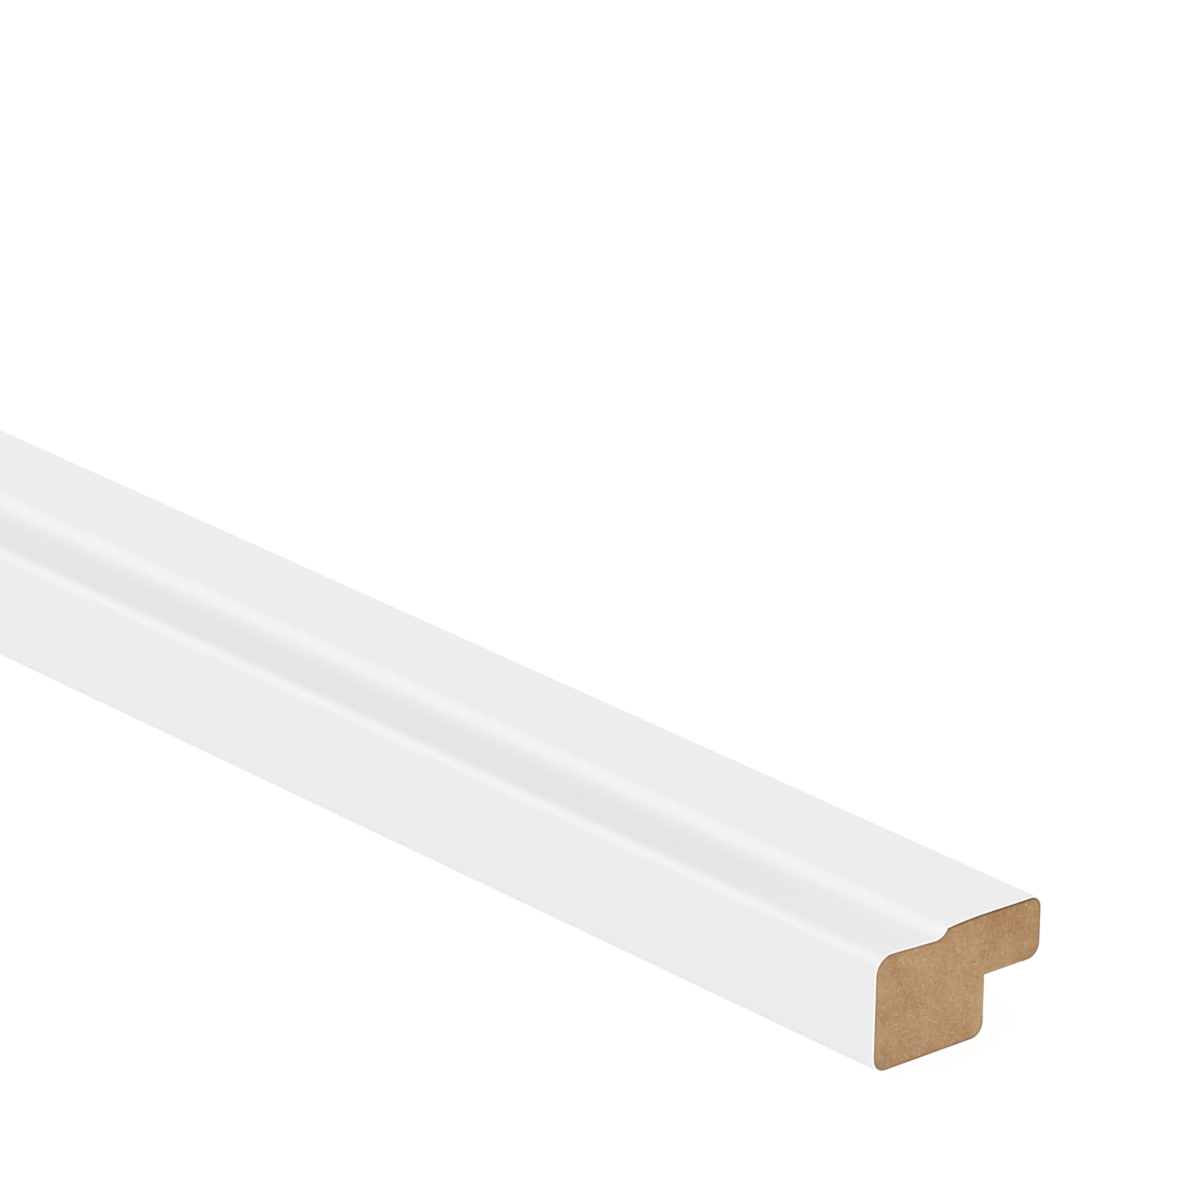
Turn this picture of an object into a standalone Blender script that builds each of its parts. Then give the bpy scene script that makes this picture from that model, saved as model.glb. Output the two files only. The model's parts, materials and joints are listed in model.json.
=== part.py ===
"""A length of rebated crown moulding, lying on its underside with its show face to the front.

An MDF core is milled to the profile and wrapped in white foil. The foil starts on the wall of
the rebate, runs round the underside, the front, the stepped top and the lip, and ends under the
lip. The rebate itself and both sawn ends are bare.

Metres. +X runs along the moulding, -Y is its front, +Z is up. The origin lies under the middle
of its box. A section point is (y, z).
"""

import math

import bpy
from mathutils import Vector

# Overall sizes
LENGTH = 0.300
WIDTH = 0.0366
HEIGHT = 0.0220

# The rebate under the lip, which takes the edge of a wall panel
REBATE_DEPTH = 0.0124
REBATE_HEIGHT = 0.0109

# The stepped top: a shelf behind the front edge, a cove, and the crowned surface of the lip
SHELF_HEIGHT = 0.02085
SHELF_FALL = math.radians(3.0)
STEP_FROM_FRONT = 0.0146
RISER_LEAN = 0.00095
SHOULDER_RISE = math.radians(5.0)
RIDGE_FROM_FRONT = 0.0229
LIP_FALL = math.radians(1.0)

# Roundings of the wrapped face
FRONT_TOP_RADIUS = 0.0035
FRONT_BOTTOM_RADIUS = 0.0029
BACK_BOTTOM_RADIUS = 0.0027
LIP_BOTTOM_RADIUS = 0.0027
LIP_TOP_RADIUS = 0.0025
COVE_RADIUS = 0.0026
SHOULDER_RADIUS = 0.00055
RIDGE_RADIUS = 0.080

# The foil, the glue line under it, and how far it runs on past the last rounding at each edge
FOIL_THICKNESS = 0.0003
GLUE_LINE = 0.0003
FOIL_LAP = 0.0008

# The most that a facet may leave an arc
FACET_TOLERANCE = 0.000003

MDF_COLOUR = (0.434, 0.266, 0.138, 1.0)
MDF_ROUGHNESS = 0.85
FOIL_COLOUR = (0.83, 0.83, 0.82, 1.0)
FOIL_ROUGHNESS = 0.38

FRONT = -WIDTH / 2
BACK = WIDTH / 2
REBATE_WALL = BACK - REBATE_DEPTH


def clear_scene():
    for scene_object in list(bpy.data.objects):
        bpy.data.objects.remove(scene_object, do_unlink=True)


def make_material(name, colour, roughness):
    material = bpy.data.materials.new(name)
    material.use_nodes = True
    shader = material.node_tree.nodes["Principled BSDF"]
    shader.inputs["Base Color"].default_value = colour
    shader.inputs["Roughness"].default_value = roughness
    shader.inputs["Metallic"].default_value = 0.0
    material.diffuse_color = colour
    return material


def ridge_corner():
    """Corner where the two slopes of the lip's top would meet over the arc that joins them.

    The arc's highest point is HEIGHT, over RIDGE_FROM_FRONT, and its tangents fall by
    SHOULDER_RISE to the front and by LIP_FALL to the back.
    """
    centre = Vector((FRONT + RIDGE_FROM_FRONT, HEIGHT - RIDGE_RADIUS))
    half_turn = (SHOULDER_RISE + LIP_FALL) / 2
    tilt = (LIP_FALL - SHOULDER_RISE) / 2
    reach = RIDGE_RADIUS / math.cos(half_turn)
    return centre + reach * Vector((math.sin(tilt), math.cos(tilt)))


def wrapped_corners(lap):
    """Corners (point, radius) of the wrapped face, from the rebate's wall round to the soffit.

    lap is how far each end runs on past its last rounding.
    """
    ridge = ridge_corner()
    wall_face = REBATE_WALL + FOIL_THICKNESS
    soffit_face = REBATE_HEIGHT - FOIL_THICKNESS
    step = FRONT + STEP_FROM_FRONT
    shoulder = step + RISER_LEAN
    shelf_foot = SHELF_HEIGHT - STEP_FROM_FRONT * math.tan(SHELF_FALL)
    shoulder_top = ridge.y - (ridge.x - shoulder) * math.tan(SHOULDER_RISE)
    lip_edge = ridge.y - (BACK - ridge.x) * math.tan(LIP_FALL)
    return [
        (Vector((wall_face, BACK_BOTTOM_RADIUS + lap)), 0.0),
        (Vector((wall_face, 0.0)), BACK_BOTTOM_RADIUS),
        (Vector((FRONT, 0.0)), FRONT_BOTTOM_RADIUS),
        (Vector((FRONT, SHELF_HEIGHT)), FRONT_TOP_RADIUS),
        (Vector((step, shelf_foot)), COVE_RADIUS),
        (Vector((shoulder, shoulder_top)), SHOULDER_RADIUS),
        (ridge, RIDGE_RADIUS),
        (Vector((BACK, lip_edge)), LIP_TOP_RADIUS),
        (Vector((BACK, soffit_face)), LIP_BOTTOM_RADIUS),
        (Vector((BACK - LIP_BOTTOM_RADIUS - lap, soffit_face)), 0.0),
    ]


def inward(start, end):
    """Unit normal of a side towards the material, which lies on the right of its direction."""
    along = (end - start).normalized()
    return Vector((along.y, -along.x))


def turn_angle(before, corner, after):
    """Signed turn at a corner, positive to the left."""
    return (after - corner).angle_signed(corner - before)


def inset(corners, depth):
    """The same line moved into the material by depth, with its roundings kept concentric."""
    points = [point for point, radius in corners]
    normals = [inward(a, b) for a, b in zip(points, points[1:])]
    moved = [(points[0] + depth * normals[0], 0.0)]
    for index in range(1, len(points) - 1):
        first, second = normals[index - 1], normals[index]
        point = points[index] + depth * (first + second) / (1 + first.dot(second))
        hollow = turn_angle(*points[index - 1:index + 2]) > 0
        radius = corners[index][1] + (depth if hollow else -depth)
        moved.append((point, max(radius, 0.0)))
    moved.append((points[-1] + depth * normals[-1], 0.0))
    return moved


def fitted_radii(corners, closed):
    """Radii that share each side of the outline between the roundings at its two ends."""
    points = [point for point, radius in corners]
    count = len(points)
    half_tans = [0.0] * count
    for index in range(0 if closed else 1, count if closed else count - 1):
        turn = turn_angle(points[index - 1], points[index], points[(index + 1) % count])
        half_tans[index] = abs(math.tan(turn / 2))
    tangents = [half * radius for half, (point, radius) in zip(half_tans, corners)]
    shares = [1.0] * count
    for index in range(count if closed else count - 1):
        following = (index + 1) % count
        side = (points[following] - points[index]).length
        wanted = tangents[index] + tangents[following]
        if wanted > side:
            shares[index] = min(shares[index], side / wanted)
            shares[following] = min(shares[following], side / wanted)
    return [share * radius for share, (point, radius) in zip(shares, corners)]


def arc_points(before, corner, after, radius):
    """Points of the arc of this radius that is tangent to both sides of a corner."""
    turn = turn_angle(before, corner, after)
    to_before = (before - corner).normalized()
    start = corner + to_before * radius * abs(math.tan(turn / 2))
    side = 1 if turn > 0 else -1
    centre = start + radius * side * Vector((to_before.y, -to_before.x))
    facet = 2 * math.acos(1 - min(1.0, FACET_TOLERANCE / radius))
    steps = max(2, math.ceil(abs(turn) / facet))
    spoke = start - centre
    points = []
    for step in range(steps + 1):
        angle = turn * step / steps
        turned = Vector((
            spoke.x * math.cos(angle) - spoke.y * math.sin(angle),
            spoke.x * math.sin(angle) + spoke.y * math.cos(angle),
        ))
        points.append(centre + turned)
    return points


def rounded(corners, closed):
    """The outline's points, with every corner that has a radius turned into an arc."""
    outline = []
    radii = fitted_radii(corners, closed)
    count = len(corners)
    for index, (point, wanted) in enumerate(corners):
        if radii[index] <= FACET_TOLERANCE:
            outline.append(point)
            continue
        before = corners[index - 1][0]
        after = corners[(index + 1) % count][0]
        outline.extend(arc_points(before, point, after, radii[index]))
    return outline


def section_curve(name, outline, closed, collection, material):
    """A section drawn as a flat curve and run along X for the whole length."""
    curve = bpy.data.curves.new(name, "CURVE")
    curve.dimensions = "2D"
    curve.fill_mode = "BOTH" if closed else "NONE"
    curve.extrude = LENGTH / 2
    spline = curve.splines.new("POLY")
    spline.points.add(len(outline) - 1)
    for spline_point, point in zip(spline.points, outline):
        spline_point.co = (point.x, point.y, 0.0, 1.0)
    spline.use_cyclic_u = closed
    curve.materials.append(material)
    section = bpy.data.objects.new(name, curve)
    section.rotation_euler = (math.pi / 2, 0.0, math.pi / 2)
    collection.objects.link(section)
    return section


def build_core(collection):
    """The MDF core: under the foil and its glue line where it is wrapped, bare in the rebate.

    The rebate's faces lie in line with the foil's inner face, so the core steps out by the
    glue line where the foil ends, and the foil stands proud of them by its own thickness.
    """
    wrapped = wrapped_corners(FOIL_LAP + GLUE_LINE)
    bare = inset(wrapped, FOIL_THICKNESS)
    corners = inset(wrapped, FOIL_THICKNESS + GLUE_LINE)
    corners.append(bare[-1])
    corners.append((Vector((REBATE_WALL, REBATE_HEIGHT)), 0.0))
    corners.append(bare[0])
    material = make_material("mdf", MDF_COLOUR, MDF_ROUGHNESS)
    return section_curve("mdf_core", rounded(corners, True), True, collection, material)


def build_foil(collection):
    """The foil: the wrapped face as an open ribbon, thickened inwards."""
    outline = rounded(wrapped_corners(FOIL_LAP), False)
    material = make_material("white_foil", FOIL_COLOUR, FOIL_ROUGHNESS)
    foil = section_curve("foil_wrap", outline, False, collection, material)
    wall = foil.modifiers.new("foil thickness", "SOLIDIFY")
    wall.thickness = FOIL_THICKNESS
    wall.offset = -1.0
    wall.use_even_offset = True
    wall.use_rim = True
    return foil


def main():
    clear_scene()
    collection = bpy.data.collections.new("crown_moulding_length")
    bpy.context.scene.collection.children.link(collection)
    build_core(collection)
    build_foil(collection)


main()
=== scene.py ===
"""The looks of a length of rebated crown moulding: white foil wrapped round an MDF core.

Everything is in metres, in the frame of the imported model: +X along the moulding, -Y its tall
front, +Z up. A section point is (y, z).
"""

import json
import math

import bpy
import numpy as np
from mathutils import Matrix, Vector


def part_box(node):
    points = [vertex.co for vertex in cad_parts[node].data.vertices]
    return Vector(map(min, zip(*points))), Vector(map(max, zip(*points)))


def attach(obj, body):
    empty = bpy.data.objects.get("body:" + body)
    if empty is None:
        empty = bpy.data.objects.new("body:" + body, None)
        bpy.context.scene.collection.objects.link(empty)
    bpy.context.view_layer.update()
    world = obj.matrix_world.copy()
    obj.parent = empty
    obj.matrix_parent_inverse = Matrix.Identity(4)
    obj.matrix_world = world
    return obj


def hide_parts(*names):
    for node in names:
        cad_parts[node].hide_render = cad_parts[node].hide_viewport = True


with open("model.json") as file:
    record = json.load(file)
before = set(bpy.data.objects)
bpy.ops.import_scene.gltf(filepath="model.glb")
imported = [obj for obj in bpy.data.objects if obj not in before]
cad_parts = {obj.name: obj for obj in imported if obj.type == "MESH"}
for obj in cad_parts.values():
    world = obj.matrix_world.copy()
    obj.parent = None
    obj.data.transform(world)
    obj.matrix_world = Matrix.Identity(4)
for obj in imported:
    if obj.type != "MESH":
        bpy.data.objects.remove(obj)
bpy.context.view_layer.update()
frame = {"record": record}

MM = 0.001

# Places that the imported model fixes
FOIL_LOW, FOIL_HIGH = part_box("foil_wrap")
MOUNT_PLACES = {mount["name"]: mount["pos_m"] for mount in frame["record"]["mounts"]}
FAR_END, NEAR_END = FOIL_LOW.x, FOIL_HIGH.x
FRONT, BACK = FOIL_LOW.y, FOIL_HIGH.y
UNDERSIDE, TOP = FOIL_LOW.z, FOIL_HIGH.z
REBATE_WALL = MOUNT_PLACES["rebate_wall"][1]
SOFFIT = MOUNT_PLACES["rebate_soffit"][2]

# The section's own shape, as the solids have it
SHELF_HEIGHT = 20.85 * MM
SHELF_FALL = math.radians(3.0)
STEP_FROM_FRONT = 14.6 * MM
RISER_LEAN = 0.95 * MM
SHOULDER_RISE = math.radians(5.0)
RIDGE_FROM_FRONT = 22.9 * MM
LIP_FALL = math.radians(1.0)
FRONT_TOP_RADIUS = 3.5 * MM
FRONT_BOTTOM_RADIUS = 2.9 * MM
BACK_BOTTOM_RADIUS = 2.7 * MM
LIP_BOTTOM_RADIUS = 2.7 * MM
LIP_TOP_RADIUS = 2.5 * MM
COVE_RADIUS = 2.6 * MM
SHOULDER_RADIUS = 0.55 * MM
RIDGE_RADIUS = 80 * MM
FOIL_THICKNESS = 0.3 * MM
FOIL_LAP = 0.8 * MM
FOIL_CLEARANCE = 0.01 * MM

# Smooth random waves: how many sines, the longest for a shortest of 1, and what tames their sum
SINE_COUNT = 9
LONGEST_SINE = 2.6
SINE_TAMING = 2.2

# The foil's mesh: steps round the section, stations along X, and steps whitened by the saw
FOIL_ARC_STEP = math.radians(2.5)
FOIL_RUN_STEP = 0.4 * MM
FOIL_END_STATIONS = np.array((0, 0.04, 0.09, 0.15, 0.4, 1.2, 3)) * MM
FOIL_STATION_STEP = 3.0 * MM
FOIL_SHARP_ANGLE = math.radians(35)
WHITENED_STEPS = 3

# How the foil lies: slow waves drawn out along X, and the curl of its cut ends
WAVE_SEED = 11
LEAST_SINK = 0.001 * MM
WAVE_DEPTH = 0.006 * MM
WAVE_LENGTH = 9 * MM
WAVE_DRAW = 0.35
CURL_DEPTH = 0.09 * MM
CURL_REACH = 0.15 * MM

# How its free edges wander, each with waves of its own, and how ragged the saw leaves its ends
TRIM_SEED = 12
TRIM_DEPTH = 0.12 * MM
TRIM_LENGTH = 14 * MM
SECOND_EDGE_SHIFT = 0.7
RAGGED_SEED = 13
RAGGED_DEPTH = 0.018 * MM
RAGGED_LENGTH = 0.5 * MM
OUTER_LINE_SHIFT = 0.4 * MM

# The core's mesh: steps round its outline, and stations along X
CORE_ARC_STEP = math.radians(1.5)
CORE_RUN_STEP = 0.05 * MM
CORE_END_STATIONS = (0, 0.3 * MM, 1.2 * MM, 4 * MM)
CORE_STATION_STEP = 9 * MM
CORE_SHARP_ANGLE = math.radians(40)

# Runs of columns on its sawn face: where each ends along Y, its steps, and where they crowd.
# The lip's are measured from the core's back. Then the rows of the low and of the high block.
BODY_COLUMNS = (
    (FRONT + 3.6 * MM, 28, "start"),
    (FRONT + 13.2 * MM, 52, "even"),
    (FRONT + 16.0 * MM, 32, "even"),
    (REBATE_WALL - 2.6 * MM, 32, "even"),
    (REBATE_WALL, 24, "end"),
)
LIP_COLUMNS = (
    (-3.6 * MM, 46, "even"),
    (0, 32, "end"),
)
LOW_ROWS = 54
HIGH_ROWS = 64
SAME_PLACE = 1e-7

# Relief of the sawn faces: a seed for each, waves, torn fibres, and a groove next to the foil
FAR_FACE_SEED = 31
NEAR_FACE_SEED = 32
TORN_SEED_STEP = 10
RELIEF_DEPTH, RELIEF_LENGTH = 0.006 * MM, 1.4 * MM
TORN_DEPTH, TORN_LENGTH = 0.010 * MM, 0.35 * MM
GROOVE_DEPTH, GROOVE_WIDTH = 0.03 * MM, 0.14 * MM
EDGE_POINT_STEP = 0.04 * MM
EDGE_SHARES = 40

# White foil, with painted shade and a painted highlight in its colours. Bands are in mm from the
# front: where each starts, is full, is still full, ends
FOIL_COLOUR = (0.815, 0.814, 0.817, 1)
# Painted shade: a greyer white over the shelf, for the shade that falls there
PAINTED_SHELF_SHADE = (0.746, 0.744, 0.744, 1)
# Painted highlight: a whiter white in the cove, where the light catches it
PAINTED_COVE_HIGHLIGHT = (0.864, 0.863, 0.865, 1)
# Painted shade: a little greyer and bluer white on the front
PAINTED_FRONT_SHADE = (0.800, 0.800, 0.805, 1)
# Painted shade: a greyer white near the underside, next to the floor
PAINTED_LOW_SHADE = (0.765, 0.765, 0.770, 1)
SHELF_SHADE_BAND = (1.4, 2.7, 8.0, 14.2)
COVE_HIGHLIGHT_BAND = (12.7, 14.4, 15.4, 16.1)
FRONT_SHADE_FADE = (0.9, 0.2)
LOW_SHADE_FADE = (2.3 * MM, 1.1 * MM)
TOP_FADE = (SHELF_HEIGHT - 4 * MM, SHELF_HEIGHT - 2 * MM)
# Painted shade over the shelf grows paler by this share towards the near end, over this reach
NEAR_SHADE_PALING = 0.6
NEAR_SHADE_PALING_REACH = 54 * MM
FOIL_ROUGHNESS = 0.34
FOIL_ROUGHNESS_SWING = 0.06
FOIL_GRAIN_SIZE = 0.7 * MM
FOIL_CLOUD_SIZE = 22 * MM
FOIL_CLOUD_RELIEF = 0.5
FOIL_BUMP = (0.10, 0.02 * MM)

# The foil's sawn edge, whitened where its noise lies above this fade
CUT_FOIL_COLOUR = (0.96, 0.96, 0.955, 1)
CUT_FOIL_FADE = (-0.45, -0.15)
CUT_FOIL_PATCH = 0.8 * MM
CUT_FOIL_ROUGHNESS = 0.8

# MDF's colours. Its tone runs from 0, dark, to 1, light
MDF_LIGHT = (0.598, 0.415, 0.238, 1)
MDF_DARK = (0.275, 0.110, 0.016, 1)
MDF_CHIP = (0.66, 0.50, 0.32, 1)
MDF_PIT = (0.12, 0.065, 0.030, 1)
MDF_GREYED = (0.49, 0.36, 0.205, 1)
MDF_SMUDGE = (0.300, 0.225, 0.155, 1)
MDF_BROWNED = (0.270, 0.145, 0.062, 1)
MDF_EDGE = (0.105, 0.045, 0.014, 1)
MDF_IOR = 1.4

# Sawn MDF. Sizes are in mm on the section: first how the saw combs its pattern
SAW_ACROSS = 0.743
SAW_SHEAR = 0.250
SAW_UP = 0.927
SAWN_TONE = 0.49
MOTTLE_SIZE, MOTTLE_SWING = 5.5, 0.36
GRAIN_SIZE, GRAIN_SWING, GRAIN_RELIEF = 0.17, 0.70, 0.4
CURL_SIZE, CURL_TURNS, CURL_SWING = 1.2, 5.0, 0.04
CURL_PATCH, CURL_FADE = 0.6, (-0.12, 0.16)
# How far noise of two sizes pushes the fibres, then the outlines of the specks, right and up
BENT_SIZES, BENT_REACH = (0.9, 0.7), (0.5, 0.5)
ROUGH_SIZES, ROUGH_REACH = (0.16, 0.13), (0.3, 0.22)
FLOW_SIZE, FLOW_TURN = 3.4, 11.0
# Pale chips and dark pits: cell, size, share of the cells, and how strong
CHIPS, CHIP_STRENGTH = (1.0, 0.17, 0.09), 0.8
PITS, PIT_STRENGTH = (1.25, 0.125, 0.13), 0.65
GREY_STRENGTH, FRONT_GREY = 0.55, 0.3
FRONT_GREY_FADE = (FRONT + 2.6 * MM, FRONT + 0.6 * MM)
WALL_GREY_BACK = (REBATE_WALL - 2.8 * MM, REBATE_WALL - 0.4 * MM)
WALL_GREY_DOWN = (SOFFIT, SOFFIT - 2 * MM)
SMUDGE_BOUNDS = (-1, 1.6, -1, 1.6, 3.2)
SMUDGE_SHARE, SMUDGE_SWING, SMUDGE_SIZE = 0.26, 1.5, 1.3
SAWN_ROUGHNESS = 0.85
SAWN_BUMP = (0.35, 0.03 * MM)
# Slow changes of tone over the sawn face: bounds of each patch and how soft it ends, its change
TONE_PATCHES = (
    ((11, 22, 8, 17, 4), 0.07),
    ((26.5, 31.5, 17, 23, 3), -0.13),
    ((32, 37, 9, 11.5, 2), -0.11),
    ((-1, 4, -1, 3, 4), -0.04),
)
# Cell size, half length and half width of each layer of fibres in mm, then its contrast
FIBRE_SIZES = (
    (1.25, 0.85, 0.095, 0.68),
    (1.05, 0.70, 0.090, 0.64),
    (0.90, 0.65, 0.095, 0.60),
    (0.74, 0.50, 0.090, 0.58),
    (0.62, 0.45, 0.080, 0.56),
    (0.50, 0.35, 0.080, 0.52),
)
# What a fibre's draw has to pass to be lighter than its ground, how far the layers lie apart,
# how far a fibre turns and bends, and the share of its length that is at full strength
FIBRE_MIDDLE = 0.42
LAYER_SHIFT = 7.3
FIBRE_TURN = 2.2
FIBRE_BEND = 0.5
FIBRE_FULL = 0.3
# The smallest speck, and how much of a speck is at full strength
SPECK_LEAST = 0.4
SPECK_FULL = 0.35

# Brown next to the foil: how far in the two shares reach, in mm, and how strong they are where
THIN_BAND = (0.0, 0.14, 0.24, 0.43)
WIDE_FADE = (0.22, 0.62)
THIN_BASE, THIN_LIP_TOP, THIN_SHELF_TOP, THIN_UNDERSIDE = 0.18, 0.50, 0.20, 0.21
THIN_LIP_CORNER, THIN_WALL_CORNER = 0.18, 0.16
WIDE_BASE, WIDE_LIP_TOP = 0.25, 0.3
LIP_TOP_FADE = (SHELF_HEIGHT, SHELF_HEIGHT + 0.5 * MM)
SHELF_TOP_FADE = (SHELF_HEIGHT - 3 * MM, SHELF_HEIGHT - 1.5 * MM)
UNDERSIDE_FADE = (2.5 * MM, 0.8 * MM)
LIP_CORNER_BACK = (BACK - 3.0 * MM, BACK - 1.4 * MM)
LIP_CORNER_DOWN = (SOFFIT + 4.5 * MM, SOFFIT + 2.0 * MM)
WALL_CORNER_BACK = (REBATE_WALL - 1.8 * MM, REBATE_WALL - 0.9 * MM)
WALL_CORNER_DOWN = (4.4 * MM, 3.0 * MM)
BROWN_RAGGED, BROWN_RAGGED_SIZE = 0.14, 0.8 * MM
BROWN_WAVER, BROWN_WAVER_SIZE = 0.9, 2.6 * MM

# Milled MDF along the rebate: sizes in mm, but for the spacing of the cutter's marks
MILLED_DRAW = 0.7
MILLED_GRAIN, MILLED_GRAIN_SWING = 0.22, 0.12
MILLED_MOTTLE, MILLED_MOTTLE_SWING = 3.0, 0.16
MARK_SPACING, MARK_SWING, MARK_WAVER = 0.9 * MM, 0.015, 3.0
MARK_WAVER_SIZE = 6.0
MILLED_TONE = 0.5
MILLED_FLOW_SIZE = 5.0
MILLED_FIBRE_MIDDLE = 0.4
MILLED_RELIEF = 0.3
MILLED_ROUGHNESS = 0.8
MILLED_BUMP = (0.3, 0.02 * MM)

# The photograph's view: a long lens, a little rolled, with one corner of the near end to aim by
SENSOR_WIDTH = 36.0
LENS = 294.5
AZIMUTH = math.radians(48.007)
ELEVATION = math.radians(21.964)
ROLL = math.radians(1.1623)
FRAME_SIDE_PIXELS = 1200
AIM_PIXEL = (875.5, 1068.55)
AIM_POINT = Vector((NEAR_END, FRONT + 0.733 * MM, 1.194 * MM))
AIM_DEPTH = 1.5611

# The studio: a white floor that glows a little, white surroundings, and soft square lights
FLOOR_SIDE = 40.0
FLOOR_DROP = 0.02 * MM
FLOOR_SHARP_ANGLE = math.radians(30)
FLOOR_COLOUR = (0.16, 0.16, 0.16, 1)
FLOOR_GLOW = 0.88
WHITE = (1, 1, 1, 1)
WORLD_STRENGTH = 0.95
# Name, direction, distance, side and radiance of each soft light
LIGHTS = (
    ("band light", (-0.65, -0.45, 0.62), 3.0, 1.2, 1.4),
    ("overhead light", (-0.17, -0.47, 0.87), 3.0, 2.0, 0.3),
)

# Sockets of Blender's Mix node when it mixes colours
MIX_SHARE, MIX_UNDER, MIX_OVER, MIX_RESULT = 0, 6, 7, 2


class Wire:
    """A socket in a material's node tree. Arithmetic on it adds Math nodes."""

    def __init__(self, tree, socket):
        self.tree = tree
        self.socket = socket

    def node(self, kind, settings, inputs, output=0):
        """A node of this kind: its settings are made, then its sockets are filled or linked."""
        made = self.tree.nodes.new(kind)
        for name, value in settings.items():
            setattr(made, name, value)
        for key, value in inputs.items():
            if isinstance(value, Wire):
                self.tree.links.new(value.socket, made.inputs[key])
            else:
                made.inputs[key].default_value = value
        return Wire(self.tree, made.outputs[output])

    def sibling(self, output):
        """Another output of the node that this wire comes from."""
        return Wire(self.tree, self.socket.node.outputs[output])

    def __add__(self, other):
        return arithmetic("ADD", self, other)

    def __radd__(self, other):
        return arithmetic("ADD", other, self)

    def __sub__(self, other):
        return arithmetic("SUBTRACT", self, other)

    def __rsub__(self, other):
        return arithmetic("SUBTRACT", other, self)

    def __mul__(self, other):
        return arithmetic("MULTIPLY", self, other)

    def __rmul__(self, other):
        return arithmetic("MULTIPLY", other, self)

    def __truediv__(self, other):
        return arithmetic("DIVIDE", self, other)

    def __rtruediv__(self, other):
        return arithmetic("DIVIDE", other, self)

    def __abs__(self):
        return arithmetic("ABSOLUTE", self)


def arithmetic(operation, *values):
    """A Math node on these values, of which one at least is a wire."""
    wire = next(value for value in values if isinstance(value, Wire))
    return wire.node("ShaderNodeMath", {"operation": operation}, dict(enumerate(values)))


def fade(wire, at_zero, at_one):
    """0 where the value is at_zero, 1 where it is at_one, eased between and held outside."""
    settings = {"interpolation_type": "SMOOTHSTEP", "clamp": True}
    inputs = {"Value": wire, "From Min": at_zero, "From Max": at_one}
    return wire.node("ShaderNodeMapRange", settings, inputs)


def band(wire, start, full, still, end):
    """0 up to start and past end, 1 from full to still, and eased between them."""
    return fade(wire, start, full) * fade(wire, end, still)


def mix_colours(share, under, over):
    """The colour under, with this share of the colour over it."""
    inputs = {MIX_SHARE: share, MIX_UNDER: under, MIX_OVER: over}
    return share.node("ShaderNodeMix", {"data_type": "RGBA"}, inputs, MIX_RESULT)


def layered(colour, *layers):
    """The colour with layers over it, each a share and a colour, the last one on top."""
    for share, over in layers:
        colour = mix_colours(share, colour, over)
    return colour


def split(wire, kind):
    """The three numbers of a vector ("XYZ") or of a colour ("Color")."""
    first = wire.node("ShaderNodeSeparate" + kind, {}, {0: wire})
    return first, first.sibling(1), first.sibling(2)


def flat_vector(across, up):
    """The vector (across, up, 0)."""
    return across.node("ShaderNodeCombineXYZ", {}, {0: across, 1: up})


def vector_sum(place, move, operation="ADD"):
    """A vector plus another, or less the other with the operation SUBTRACT."""
    return place.node("ShaderNodeVectorMath", {"operation": operation}, {0: place, 1: move})


def noise(place, size, detail):
    """Noise about 0, mostly within 0.5 of it, with patches of about this size in place's unit."""
    inputs = {"Vector": place, "Scale": 1 / size, "Detail": detail}
    return place.node("ShaderNodeTexNoise", {}, inputs) - 0.5


def random_cells(place, cell):
    """A flat pattern of random cells: distance from the centre in cells, colour, and centre."""
    inputs = {"Vector": place, "Scale": 1 / cell}
    reach = place.node("ShaderNodeTexVoronoi", {"voronoi_dimensions": "2D"}, inputs, "Distance")
    return reach, reach.sibling("Color"), reach.sibling("Position")


def bump(height, strength, distance):
    """The normal of a surface with this height pattern."""
    inputs = {"Height": height, "Strength": strength, "Distance": distance}
    return height.node("ShaderNodeBump", {}, inputs)


def new_material(name):
    """A material with a Principled shader: the material and the shader's node."""
    material = bpy.data.materials.new(name)
    material.use_nodes = True
    return material, material.node_tree.nodes["Principled BSDF"]


def object_place(material):
    """The wire of a point's place on the piece, in metres."""
    tree = material.node_tree
    return Wire(tree, tree.nodes.new("ShaderNodeTexCoord").outputs["Object"])


def connect(wire, shader, socket):
    """Feeds the wire into this socket of the shader."""
    wire.tree.links.new(wire.socket, shader.inputs[socket])


# Section of the moulding


def ridge_corner():
    """Corner of the two slopes of the lip's top.

    They are the tangents, SHOULDER_RISE to the front and LIP_FALL to the back, of an arc whose
    highest point is the top of the part.
    """
    half_turn = (SHOULDER_RISE + LIP_FALL) / 2
    tilt = (LIP_FALL - SHOULDER_RISE) / 2
    reach = RIDGE_RADIUS / math.cos(half_turn)
    across = FRONT + RIDGE_FROM_FRONT + reach * math.sin(tilt)
    return across, TOP - RIDGE_RADIUS + reach * math.cos(tilt)


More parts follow.
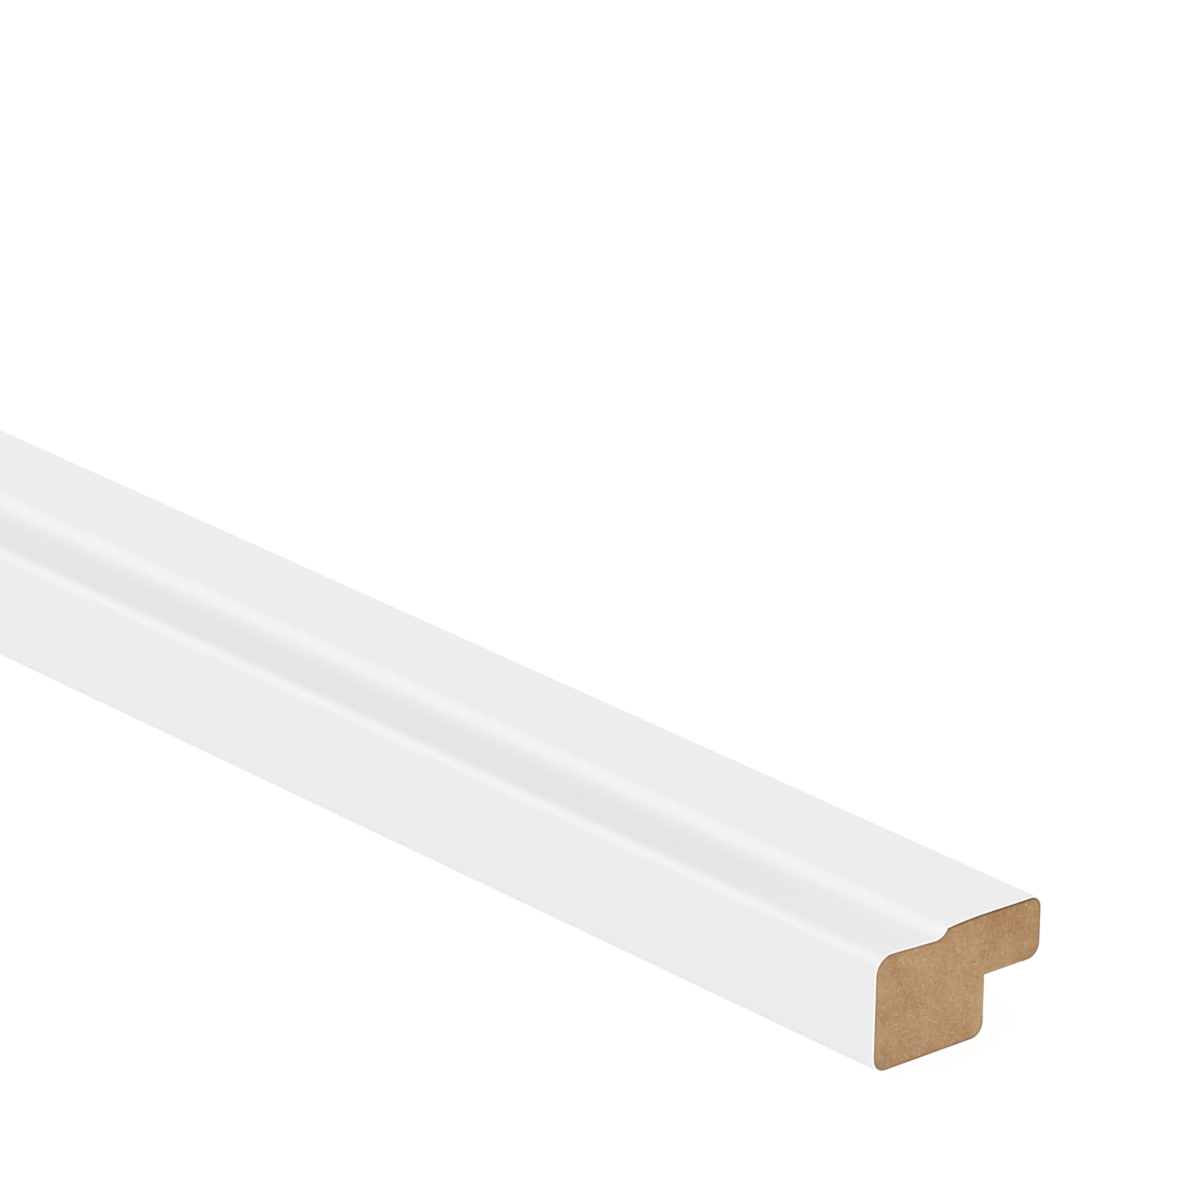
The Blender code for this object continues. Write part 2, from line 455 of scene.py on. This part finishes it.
def wrapped_corners():
    """Corners (y, z, radius) of the foil's outer face, from the rebate's wall to the soffit."""
    ridge_y, ridge_z = ridge_corner()
    wall_face = REBATE_WALL + FOIL_THICKNESS
    soffit_face = SOFFIT - FOIL_THICKNESS
    step = FRONT + STEP_FROM_FRONT
    shoulder = step + RISER_LEAN
    shelf_foot = SHELF_HEIGHT - STEP_FROM_FRONT * math.tan(SHELF_FALL)
    shoulder_top = ridge_z - (ridge_y - shoulder) * math.tan(SHOULDER_RISE)
    lip_edge = ridge_z - (BACK - ridge_y) * math.tan(LIP_FALL)
    return np.array([
        (wall_face, BACK_BOTTOM_RADIUS + FOIL_LAP, 0),
        (wall_face, UNDERSIDE, BACK_BOTTOM_RADIUS),
        (FRONT, UNDERSIDE, FRONT_BOTTOM_RADIUS),
        (FRONT, SHELF_HEIGHT, FRONT_TOP_RADIUS),
        (step, shelf_foot, COVE_RADIUS),
        (shoulder, shoulder_top, SHOULDER_RADIUS),
        (ridge_y, ridge_z, RIDGE_RADIUS),
        (BACK, lip_edge, LIP_TOP_RADIUS),
        (BACK, soffit_face, LIP_BOTTOM_RADIUS),
        (BACK - LIP_BOTTOM_RADIUS - FOIL_LAP, soffit_face, 0),
    ])


def corner_arc(corner, radius, come, go, arc_step, run_step):
    """Points of the arc that is tangent to both sides of a corner, whose directions are given.

    It is the spoke from the arc's centre to its start, turned in even steps of at most arc_step,
    and of at most run_step along the arc.
    """
    turn = math.atan2(come[0] * go[1] - come[1] * go[0], come @ go)
    start = corner - come * radius * abs(math.tan(turn / 2))
    centre = start + radius * math.copysign(1.0, turn) * np.array((-come[1], come[0]))
    steps = max(2, abs(turn) / arc_step, abs(turn) * radius / run_step)
    angles = np.linspace(0, turn, math.ceil(steps) + 1)[:, None]
    spoke = start - centre
    across = np.array((-spoke[1], spoke[0]))
    return centre + np.cos(angles) * spoke + np.sin(angles) * across


def straight_run(start, end, run_step):
    """Even points between two ends, without the ends, and no further apart than run_step."""
    steps = max(1, math.ceil(np.linalg.norm(end - start) / run_step))
    shares = np.linspace(0, 1, steps + 1)[1:-1, None]
    return start + shares * (end - start)


def rounded_line(corners, arc_step, run_step):
    """Points along a line of corners (y, z, radius), each rounded by its tangent arc."""
    points = corners[:, :2]
    along = np.diff(points, axis=0)
    along /= np.linalg.norm(along, axis=1)[:, None]
    pieces = [points[:1]]
    for corner, radius, come, go in zip(points[1:-1], corners[1:-1, 2], along, along[1:]):
        arc = corner_arc(corner, radius, come, go, arc_step, run_step)
        pieces += [straight_run(pieces[-1][-1], arc[0], run_step), arc]
    pieces += [straight_run(pieces[-1][-1], points[-1], run_step), points[-1:]]
    return np.concatenate(pieces)


def inner_normals(line):
    """Unit normals of a line towards the material, on the right of its direction."""
    along = np.gradient(line, axis=0)
    along /= np.linalg.norm(along, axis=1)[:, None]
    return np.stack((along[:, 1], -along[:, 0]), axis=1)


def run_lengths(line):
    """Length along the line from its start to each of its points."""
    return np.concatenate(([0], np.cumsum(np.linalg.norm(np.diff(line, axis=0), axis=1))))


def wander(seed, shortest, *places):
    """A smooth random wave, mostly between -1 and 1: a sum of sines of random way and phase.

    places are coordinate arrays that fit one shape. The sines' wavelengths lie between the
    shortest and LONGEST_SINE times it. All are in metres.
    """
    draw = np.random.default_rng(seed)
    total = 0
    for _ in range(SINE_COUNT):
        direction = draw.normal(size=len(places))
        direction /= np.linalg.norm(direction)
        stretch = draw.uniform(1.0, LONGEST_SINE) * shortest
        phase = draw.uniform(0, 2 * math.pi)
        reach = sum(share * place for share, place in zip(direction, places))
        total = total + np.sin(2 * math.pi * reach / stretch + phase)
    return total / math.sqrt(SINE_COUNT) / SINE_TAMING


# Meshes


def tube_quads(rows, columns):
    """Quads, as rows of four indices, of a grid of points whose last column joins the first."""
    row = np.arange(rows - 1)[:, None] * columns
    column = np.arange(columns)[None, :]
    following = (column + 1) % columns
    corners = (row + columns + column, row + columns + following, row + following, row + column)
    return np.stack(corners, axis=-1).reshape(-1, 4)


def mesh_object(name, points, quads, sharp_angle):
    """An object at the origin with this mesh, smooth but for edges sharper than sharp_angle."""
    mesh = bpy.data.meshes.new(name)
    mesh.vertices.add(len(points))
    mesh.vertices.foreach_set("co", points.astype(np.float32).ravel())
    mesh.loops.add(quads.size)
    mesh.loops.foreach_set("vertex_index", quads.astype(np.int32).ravel())
    mesh.polygons.add(len(quads))
    mesh.polygons.foreach_set("loop_start", np.arange(0, quads.size, 4, dtype=np.int32))
    mesh.update(calc_edges=True)
    mesh.validate()
    mesh.shade_smooth()
    mesh.set_sharp_from_angle(angle=sharp_angle)
    piece = bpy.data.objects.new(name, mesh)
    bpy.context.scene.collection.objects.link(piece)
    return piece


def add_finishes(piece, first, second, is_second):
    """Two materials on a piece, the second one on the faces that is_second marks."""
    piece.data.materials.append(first)
    piece.data.materials.append(second)
    piece.data.polygons.foreach_set("material_index", is_second.astype(np.int32))


def add_attribute(piece, name, values):
    """A number at each point of the piece, for its material to read."""
    attribute = piece.data.attributes.new(name, "FLOAT", "POINT")
    attribute.data.foreach_set("value", values.astype(np.float32).ravel())


def stations(fine, coarse):
    """Places along X: these close ones from each cut end, and even steps of about coarse between."""
    near = NEAR_END - np.array(fine)
    far = FAR_END + np.array(fine)
    count = round((near[-1] - far[-1]) / coarse)
    middle = np.linspace(far[-1], near[-1], count + 1)[1:-1]
    return np.concatenate((far, middle, near[::-1]))


# The foil


def foil_sink(x, run, is_outer):
    """How far the outer face is moved inwards.

    It is a least sink, plus a slow random wave that is cut off at 0, plus at each cut end a curl
    that grows with the square of how close the end is.
    """
    waves = np.maximum(0, 1 + wander(WAVE_SEED, WAVE_LENGTH, x * WAVE_DRAW, run))
    from_end = np.minimum(NEAR_END - x, x - FAR_END)
    curl = CURL_DEPTH * np.clip(1 - from_end / CURL_REACH, 0, 1) ** 2
    return (LEAST_SINK + WAVE_DEPTH * waves + curl) * is_outer


def edge_trim(x, run, outer, whole):
    """How far each section point is moved (y, z), so that the two free edges wander.

    It is a random wave along the foil's own direction at that edge, full at the edge and gone
    past the lap. whole is the length of the outer line.
    """
    at_first = run < whole / 2
    share = np.clip(1 - np.minimum(run, whole - run) / FOIL_LAP, 0, 1)
    wave = TRIM_DEPTH * wander(TRIM_SEED, TRIM_LENGTH, x + ~at_first * SECOND_EDGE_SHIFT)
    way = np.where(at_first[..., None], outer[1] - outer[0], outer[-2] - outer[-1])
    way = way / np.linalg.norm(way, axis=-1, keepdims=True)
    return (share * wave)[..., None] * way


def sawn_x(x, run, is_outer):
    """x with the first and the last station moved inwards by the raggedness of a saw cut."""
    ragged = RAGGED_DEPTH * (1 + wander(RAGGED_SEED, RAGGED_LENGTH, run, is_outer * OUTER_LINE_SHIFT))
    inwards = np.zeros((len(x), 1))
    inwards[[0, -1], 0] = 1, -1
    return x + inwards * ragged


def foil_quads(rows, outer_count):
    """Quads of the foil's tube and of its two ends, and which of them the saw has cut.

    An end's quads join each step of the outer line to the same step of the inner one, which
    runs back. The outer face's first quads at each end count as cut, as the saw whitens them.
    """
    columns = 2 * outer_count
    tube = tube_quads(rows, columns)
    step = np.arange(outer_count - 1)
    end = np.stack((step, step + 1, columns - 2 - step, columns - 1 - step), axis=-1)
    quads = np.concatenate((tube, end, end[:, ::-1] + (rows - 1) * columns))
    whitened = np.zeros((rows - 1, columns), bool)
    whitened[:WHITENED_STEPS, :outer_count] = True
    whitened[-WHITENED_STEPS:, :outer_count] = True
    return quads, np.concatenate((whitened.ravel(), np.ones(2 * len(step), bool)))


def build_foil():
    """The foil: its outer line and its inner line back, as one closed loop, carried along X."""
    outer = rounded_line(wrapped_corners(), FOIL_ARC_STEP, FOIL_RUN_STEP)
    inwards = inner_normals(outer)
    inner = outer + (FOIL_THICKNESS - FOIL_CLEARANCE) * inwards
    outer_run = run_lengths(outer)
    loop = np.concatenate((outer, inner[::-1]))
    loop_inwards = np.concatenate((inwards, inwards[::-1]))
    loop_run = np.concatenate((outer_run, outer_run[::-1]))
    is_outer = np.arange(len(loop)) < len(outer)
    places = stations(FOIL_END_STATIONS, FOIL_STATION_STEP)
    x, run = np.broadcast_arrays(places[:, None], loop_run[None, :])
    section = loop[None] + foil_sink(x, run, is_outer)[..., None] * loop_inwards[None]
    section = section + edge_trim(x, run, outer, outer_run[-1])
    grid = np.concatenate((sawn_x(x, run, is_outer)[..., None], section), axis=-1)
    quads, is_cut = foil_quads(len(places), len(outer))
    piece = mesh_object("foil", grid.reshape(-1, 3), quads, FOIL_SHARP_ANGLE)
    add_finishes(piece, white_foil(), cut_foil(), is_cut)
    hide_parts("foil_wrap")
    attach(piece, "root")


def foil_with_painted_light(place):
    """The foil's colour with painted light: painted shade over the shelf, a painted highlight in the
    cove, and a little painted shade in front.

    There is painted shade near the underside too, and the painted shade over the shelf grows paler
    towards the near end.
    """
    x, y, z = split(place, "XYZ")
    from_front = (y - FRONT) / MM
    on_top = fade(z, *TOP_FADE)
    # Share by which the painted shade over the shelf pales towards the near end
    shade_paling = NEAR_SHADE_PALING * fade(x, NEAR_END - NEAR_SHADE_PALING_REACH, NEAR_END)
    return layered(
        FOIL_COLOUR,
        # Painted shade over the shelf
        (band(from_front, *SHELF_SHADE_BAND) * on_top * (1 - shade_paling), PAINTED_SHELF_SHADE),
        # Painted highlight in the cove
        (band(from_front, *COVE_HIGHLIGHT_BAND) * on_top, PAINTED_COVE_HIGHLIGHT),
        # Painted shade on the front
        (fade(from_front, *FRONT_SHADE_FADE), PAINTED_FRONT_SHADE),
        # Painted shade near the underside
        (fade(z, *LOW_SHADE_FADE), PAINTED_LOW_SHADE),
    )


def white_foil():
    """Satin white foil with a very fine grain, in the foil's colours with their painted shade and
    painted highlight.
    """
    material, shader = new_material("white foil")
    place = object_place(material)
    connect(foil_with_painted_light(place), shader, "Base Color")
    grain = noise(place, FOIL_GRAIN_SIZE, 3.0)
    cloud = noise(place, FOIL_CLOUD_SIZE, 2.0)
    connect(FOIL_ROUGHNESS + FOIL_ROUGHNESS_SWING * cloud, shader, "Roughness")
    connect(bump(grain + FOIL_CLOUD_RELIEF * cloud, *FOIL_BUMP), shader, "Normal")
    return material


def cut_foil():
    """The foil's sawn edge: matt, and whiter than its face in all but a few places."""
    material, shader = new_material("cut foil")
    whiter = fade(noise(object_place(material), CUT_FOIL_PATCH, 2.0), *CUT_FOIL_FADE)
    connect(mix_colours(whiter, FOIL_COLOUR, CUT_FOIL_COLOUR), shader, "Base Color")
    shader.inputs["Roughness"].default_value = CUT_FOIL_ROUGHNESS
    return material


# The core


def graded(start, end, steps, crowd):
    """Even steps from start to end, or steps crowded at one end or both by a cosine."""
    share = np.linspace(0, 1, steps + 1)
    eased = {
        "even": share,
        "start": 1 - np.cos(share * math.pi / 2),
        "end": np.sin(share * math.pi / 2),
        "both": (1 - np.cos(share * math.pi)) / 2,
    }[crowd]
    return start + (end - start) * eased


def run_on(start, runs):
    """Places from start on, through runs that each give an end, a number of steps and a crowding."""
    places = [np.array([start])]
    for end, steps, crowd in runs:
        places.append(graded(start, end, steps, crowd)[1:])
        start = end
    return np.concatenate(places)


def core_outline():
    """The foil's inner line, which the core fills."""
    line = rounded_line(wrapped_corners(), CORE_ARC_STEP, CORE_RUN_STEP)
    return line + FOIL_THICKNESS * inner_normals(line)


def column_bounds(line):
    """The parts of the outline that bound a column, from front to back.

    They are the underside, the top, and the underside of the lip's end.
    """
    on_front = np.nonzero(line[:, 0] < line[:, 0].min() + SAME_PLACE)[0]
    on_back = np.nonzero(line[:, 0] > line[:, 0].max() - SAME_PLACE)[0]
    underside = line[:on_front[0] + 1][::-1]
    top = line[on_front[-1]:np.argmax(line[:, 0]) + 1]
    return underside, top, line[on_back[-1]:][::-1]


def face_blocks(line):
    """The two blocks of a sawn face, each as its columns' places and its rows' heights.

    A column runs from the underside, or the soffit, to the top. Below the soffit's height its
    rows are the low block, which ends at the rebate's wall, and above it the high one, which
    reaches the lip's end.
    """
    back = line[:, 0].max()
    body = run_on(line[:, 0].min(), BODY_COLUMNS)
    lip = run_on(REBATE_WALL, [(back + end, steps, crowd) for end, steps, crowd in LIP_COLUMNS])
    every = np.concatenate((body, lip[1:]))
    underside, top, lip_underside = column_bounds(line)
    body_floor = np.interp(body, *underside.T)
    body_floor[-1] = BACK_BOTTOM_RADIUS
    lip_floor = np.maximum(SOFFIT, np.interp(lip, *lip_underside.T))
    floor = np.concatenate((np.full(len(body) - 1, SOFFIT), lip_floor))
    low = body_floor + graded(0, 1, LOW_ROWS, "start")[:, None] * (SOFFIT - body_floor)
    high = floor + graded(0, 1, HIGH_ROWS, "both")[:, None] * (np.interp(every, *top.T) - floor)
    return (body, low), (every, high)


def block_quads(index):
    """Quads of a block of point indices, counter-clockwise as seen from the near end."""
    corners = (index[:-1, :-1], index[:-1, 1:], index[1:, 1:], index[1:, :-1])
    return np.stack(corners, axis=-1).reshape(-1, 4)


def sawn_face(line):
    """A sawn face: the y and z of its points, its quads, and its rim.

    The blocks share the row at the soffit's height. The rim is the points' indices in order
    along the underside, the wall, the soffit, the lip's end, the top and the front.
    """
    (body, low_z), (every, high_z) = face_blocks(line)
    low = np.arange(low_z.size).reshape(low_z.shape)
    high = low_z[:-1].size + np.arange(high_z.size).reshape(high_z.shape)
    low[-1] = high[0, :len(body)]
    y = np.concatenate((np.tile(body, len(low) - 1), np.tile(every, len(high))))
    z = np.concatenate((low_z[:-1].ravel(), high_z.ravel()))
    rim = np.concatenate((
        low[0, :-1], low[:-1, -1], high[0, len(body) - 1:-1],
        high[:-1, -1], high[-1, :0:-1], high[:0:-1, 0], low[:0:-1, 0],
    ))
    return y, z, np.concatenate((block_quads(low), block_quads(high))), rim


def side_quads(rim, face_count, loop_count):
    """Quads of the long faces: the far rim, the loops between the ends, then the near rim."""
    loops = 2 * face_count + np.arange(loop_count * len(rim)).reshape(loop_count, -1)
    rings = np.vstack((rim, loops, rim + face_count))
    following = np.roll(rings, -1, axis=1)
    corners = (rings[:-1], following[:-1], following[1:], rings[1:])
    return np.stack(corners, axis=-1).reshape(-1, 4)


def edge_distance(y, z, line):
    """Distance from each section point to the foil's inner line, cut up into close points."""
    run = run_lengths(line)
    close = np.arange(0, run[-1], EDGE_POINT_STEP)
    line_y, line_z = [np.interp(close, run, values) for values in line.T]
    gap = np.empty(len(y))
    for share in np.array_split(np.arange(len(y)), EDGE_SHARES):
        dy = y[share, None] - line_y
        dz = z[share, None] - line_z
        gap[share] = np.sqrt((dy * dy + dz * dz).min(axis=1))
    return gap


def end_relief(y, z, gap, seed):
    """How far a sawn face is sunk: fine waves, torn fibres, and a groove next to the foil."""
    waves = RELIEF_DEPTH * (1 + wander(seed, RELIEF_LENGTH, y, z))
    torn = TORN_DEPTH * (1 + wander(seed + TORN_SEED_STEP, TORN_LENGTH, y, z))
    groove = GROOVE_DEPTH * np.exp(-(gap / GROOVE_WIDTH) ** 2)
    return waves + torn + groove


def build_core():
    """The MDF core: two sawn faces, sunk by end_relief, and their rim carried along X."""
    line = core_outline()
    y, z, face, rim = sawn_face(line)
    gap = edge_distance(y, z, line)
    far_x = FAR_END + end_relief(y, z, gap, FAR_FACE_SEED)
    near_x = NEAR_END - end_relief(y, z, gap, NEAR_FACE_SEED)
    between = stations(CORE_END_STATIONS, CORE_STATION_STEP)[1:-1]
    loops_x = np.repeat(between, len(rim))
    points = np.column_stack((
        np.concatenate((far_x, near_x, loops_x)),
        np.concatenate((y, y, np.tile(y[rim], len(between)))),
        np.concatenate((z, z, np.tile(z[rim], len(between)))),
    ))
    sides = side_quads(rim, len(y), len(between))
    quads = np.concatenate((face[:, ::-1], face + len(y), sides))
    piece = mesh_object("core", points, quads, CORE_SHARP_ANGLE)
    gaps = np.concatenate((gap, gap, np.tile(gap[rim], len(between))))
    add_attribute(piece, "edge", gaps / MM)
    add_finishes(piece, sawn_mdf(), milled_mdf(), np.arange(len(quads)) >= 2 * len(face))
    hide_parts("mdf_core")
    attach(piece, "root")


def fibres(place, flow, cell, shift, length, width):
    """Short bent fibres, one in each cell of a random pattern: their cover and a draw of 0 to 1.

    A fibre is the part of a parabola near its cell's centre. It runs along the angle flow, plus
    up to FIBRE_TURN radians by its cell's first draw, and is bent by the second. The third one
    sets how light it is. length and width are half of its own, in place's unit.
    """
    moved = vector_sum(place, (shift, -shift, 0))
    _, draws, centre = random_cells(moved, cell)
    right, up, _ = split(vector_sum(moved, centre, "SUBTRACT"), "XYZ")
    turn, curve, draw = split(draws, "Color")
    angle = flow + turn * FIBRE_TURN
    cosine = arithmetic("COSINE", angle)
    sine = arithmetic("SINE", angle)
    run = right * cosine + up * sine
    off = up * cosine - right * sine - (curve - 0.5) * run * run * (FIBRE_BEND / cell)
    thin = 1 - fade(abs(off), 0.0, width)
    short = 1 - fade(abs(run), length * FIBRE_FULL, length)
    return thin * short, draw


def fibre_strokes(place, flow):
    """All layers of fibres as one change of tone, up for light fibres and down for dark ones."""
    strokes = []
    for index, (cell, length, width, contrast) in enumerate(FIBRE_SIZES):
        cover, draw = fibres(place, flow, cell, LAYER_SHIFT * index, length, width)
        strokes.append(cover * (draw - FIBRE_MIDDLE) * contrast)
    return sum(strokes)


def specks(place, cell, size, share):
    """Specks in the given share of a random pattern's cells.

    Each is round in place. Its cell's own draw makes it SPECK_LEAST to 1 + SPECK_LEAST times
    this size.
    """
    reach, draws, _ = random_cells(place, cell)
    draw, stretch, _ = split(draws, "Color")
    radius = size * (SPECK_LEAST + stretch)
    spot = 1 - fade(reach * cell, SPECK_FULL * radius, radius)
    return spot * arithmetic("LESS_THAN", draw, share)


def swirls(place, size, turns):
    """Fine curly lines, -1 to 1: the level lines of slow noise, with this many to its range."""
    return arithmetic("SINE", noise(place, size, 1.0) * (2 * math.pi * turns))


def pushed(place, readers, sizes, reach):
    """A place pushed right by one noise and up by another: who reads each, its size, its reach."""
    right = noise(readers[0], sizes[0], 1.0) * reach[0]
    up = noise(readers[1], sizes[1], 1.0) * reach[1]
    return vector_sum(place, flat_vector(right, up))


def saw_plane(y, z):
    """Section place in mm, with the pattern drawn out and sheared a little, as a saw combs it."""
    return flat_vector(y * (SAW_ACROSS / MM), (SAW_SHEAR * y + SAW_UP * z) / MM)


def patch(y, z, left, right, low, high, soft):
    """1 within these bounds of the section (mm from the front, mm up), fading to 0 over soft."""
    across = band((y - FRONT) / MM, left - soft, left, right, right + soft)
    return across * band(z / MM, low - soft, low, high, high + soft)


def saw_browning(place, y, z):
    """Two shares of brown next to the foil: a wide pale one, and a thin dark one.

    Both are strongest along the lip's top and faint on the front. The thin one is also stronger
    over the shelf, along the underside and at the rounded lower corners of the lip and the body.
    """
    edge = place.node("ShaderNodeAttribute", {"attribute_name": "edge"}, {}, "Fac")
    near = edge - BROWN_RAGGED * noise(place, BROWN_RAGGED_SIZE, 2.0)
    wavering = 1 + BROWN_WAVER * noise(place, BROWN_WAVER_SIZE, 1.0)
    lip_top = fade(z, *LIP_TOP_FADE)
    lip_corner = fade(y, *LIP_CORNER_BACK) * fade(z, *LIP_CORNER_DOWN)
    wall_corner = fade(y, *WALL_CORNER_BACK) * fade(z, *WALL_CORNER_DOWN)
    thin = THIN_BASE + fade(z, *SHELF_TOP_FADE) * THIN_SHELF_TOP + lip_top * THIN_LIP_TOP
    thin = thin + fade(z, *UNDERSIDE_FADE) * THIN_UNDERSIDE
    thin = thin + lip_corner * THIN_LIP_CORNER + wall_corner * THIN_WALL_CORNER
    wide = (1 - fade(near, *WIDE_FADE)) * (WIDE_BASE + lip_top * WIDE_LIP_TOP)
    return wide, band(near, *THIN_BAND) * thin * wavering


def greying(y, z):
    """Where the sawn face is greyer: low at the rebate's wall, and fainter along the front."""
    at_wall = fade(y, *WALL_GREY_BACK) * fade(z, *WALL_GREY_DOWN)
    at_front = fade(y, *FRONT_GREY_FADE) * FRONT_GREY
    return arithmetic("MAXIMUM", at_wall, at_front) * GREY_STRENGTH


def sawn_tone(plane, bent, y, z):
    """The sawn face's tone without its fibres, and its fine grain."""
    grain = noise(plane, GRAIN_SIZE, 2.0)
    curls = swirls(bent, CURL_SIZE, CURL_TURNS) * fade(noise(plane, CURL_PATCH, 1.0), *CURL_FADE)
    tone = SAWN_TONE + noise(plane, MOTTLE_SIZE, 1.0) * MOTTLE_SWING
    tone = tone + grain * GRAIN_SWING + curls * CURL_SWING
    for bounds, change in TONE_PATCHES:
        tone = tone + patch(y, z, *bounds) * change
    return tone, grain


def sawn_mdf():
    """Sawn MDF: mottled tan, full of fine curly fibres, with a brown line next to the foil."""
    material, shader = new_material("sawn mdf")
    place = object_place(material)
    _, y, z = split(place, "XYZ")
    plane = saw_plane(y, z)
    bent = pushed(plane, (plane, plane), BENT_SIZES, BENT_REACH)
    rough = pushed(bent, (plane, bent), ROUGH_SIZES, ROUGH_REACH)
    tone, grain = sawn_tone(plane, bent, y, z)
    strokes = fibre_strokes(bent, noise(plane, FLOW_SIZE, 1.0) * FLOW_TURN)
    pits = specks(rough, *PITS)
    smudge = SMUDGE_SHARE + SMUDGE_SWING * noise(plane, SMUDGE_SIZE, 2.0)
    wide, thin = saw_browning(place, y, z)
    colour = layered(
        MDF_DARK,
        (tone + strokes, MDF_LIGHT),
        (specks(rough, *CHIPS) * CHIP_STRENGTH, MDF_CHIP),
        (pits * PIT_STRENGTH, MDF_PIT),
        (greying(y, z), MDF_GREYED),
        (patch(y, z, *SMUDGE_BOUNDS) * smudge, MDF_SMUDGE),
        (wide, MDF_BROWNED),
        (thin, MDF_EDGE),
    )
    connect(colour, shader, "Base Color")
    shader.inputs["Roughness"].default_value = SAWN_ROUGHNESS
    shader.inputs["IOR"].default_value = MDF_IOR
    connect(bump(grain * GRAIN_RELIEF + strokes - pits, *SAWN_BUMP), shader, "Normal")
    return material


def milled_mdf():
    """Milled MDF along the rebate: smoother, with fine cutter marks across its run."""
    material, shader = new_material("milled mdf")
    x, y, z = split(object_place(material), "XYZ")
    plane = flat_vector(x * (MILLED_DRAW / MM), (y + z) / MM)
    grain = noise(plane, MILLED_GRAIN, 3.0)
    waver = noise(plane, MARK_WAVER_SIZE, 1.0) * MARK_WAVER
    marks = arithmetic("SINE", x * (2 * math.pi / MARK_SPACING) + waver)
    tone = MILLED_TONE + noise(plane, MILLED_MOTTLE, 3.0) * MILLED_MOTTLE_SWING
    tone = tone + grain * MILLED_GRAIN_SWING + marks * MARK_SWING
    cell, length, width, contrast = FIBRE_SIZES[0]
    cover, draw = fibres(plane, noise(plane, MILLED_FLOW_SIZE, 1.0), cell, 0.0, length, width)
    tone = tone + cover * (draw - MILLED_FIBRE_MIDDLE) * contrast
    connect(mix_colours(tone, MDF_DARK, MDF_LIGHT), shader, "Base Color")
    shader.inputs["Roughness"].default_value = MILLED_ROUGHNESS
    shader.inputs["IOR"].default_value = MDF_IOR
    connect(bump(grain * MILLED_RELIEF + marks * MILLED_RELIEF, *MILLED_BUMP), shader, "Normal")
    return material


# Studio


def add_camera():
    """The photograph's camera, placed so that AIM_POINT falls on AIM_PIXEL at AIM_DEPTH."""
    back = Vector((math.sin(AZIMUTH) * math.cos(ELEVATION),
                   -math.cos(AZIMUTH) * math.cos(ELEVATION), math.sin(ELEVATION)))
    level_right = Vector((math.cos(AZIMUTH), math.sin(AZIMUTH), 0))
    level_up = back.cross(level_right)
    right = math.cos(ROLL) * level_right + math.sin(ROLL) * level_up
    up = math.cos(ROLL) * level_up - math.sin(ROLL) * level_right
    focal_pixels = LENS / SENSOR_WIDTH * FRAME_SIDE_PIXELS
    shift_right, shift_down = [
        (pixel - FRAME_SIDE_PIXELS / 2) / focal_pixels * AIM_DEPTH for pixel in AIM_PIXEL
    ]
    place = AIM_POINT - shift_right * right + shift_down * up + AIM_DEPTH * back
    data = bpy.data.cameras.new("camera")
    data.lens = LENS
    data.sensor_width = SENSOR_WIDTH
    camera = bpy.data.objects.new("camera", data)
    turn = Matrix((right, up, back)).transposed().to_4x4()
    camera.matrix_world = Matrix.Translation(place) @ turn
    bpy.context.scene.collection.objects.link(camera)
    bpy.context.scene.camera = camera


def add_light(name, direction, distance, size, radiance):
    """A square soft light of even radiance, facing the part from this direction."""
    data = bpy.data.lights.new(name, "AREA")
    data.shape = "SQUARE"
    data.size = size
    data.energy = radiance * math.pi * size * size
    light = bpy.data.objects.new(name, data)
    way = Vector(direction).normalized()
    light.location = way * distance
    light.rotation_mode = "QUATERNION"
    light.rotation_quaternion = way.to_track_quat("Z", "Y")
    light.visible_camera = False
    bpy.context.scene.collection.objects.link(light)


def pale_floor():
    """A matt pale finish that glows, so that the floor is white all over."""
    material, shader = new_material("pale floor")
    shader.inputs["Base Color"].default_value = FLOOR_COLOUR
    shader.inputs["Roughness"].default_value = 1.0
    shader.inputs["Specular IOR Level"].default_value = 0.0
    shader.inputs["Emission Color"].default_value = WHITE
    shader.inputs["Emission Strength"].default_value = FLOOR_GLOW
    material.cycles.emission_sampling = "NONE"
    return material


def add_floor():
    """A plain pale floor just under the part."""
    corners = np.array([(-1, -1), (1, -1), (1, 1), (-1, 1)]) * FLOOR_SIDE / 2
    points = np.column_stack((corners, np.full(4, -FLOOR_DROP)))
    floor = mesh_object("floor", points, np.array([[0, 1, 2, 3]]), FLOOR_SHARP_ANGLE)
    floor.data.materials.append(pale_floor())


def add_world():
    """White surroundings of even strength."""
    world = bpy.data.worlds.new("studio")
    world.use_nodes = True
    background = world.node_tree.nodes["Background"]
    background.inputs["Color"].default_value = WHITE
    background.inputs["Strength"].default_value = WORLD_STRENGTH
    bpy.context.scene.world = world


def main():
    bpy.context.scene.view_settings.view_transform = "Standard"
    build_foil()
    build_core()
    add_camera()
    add_floor()
    add_world()
    for light in LIGHTS:
        add_light(*light)


main()
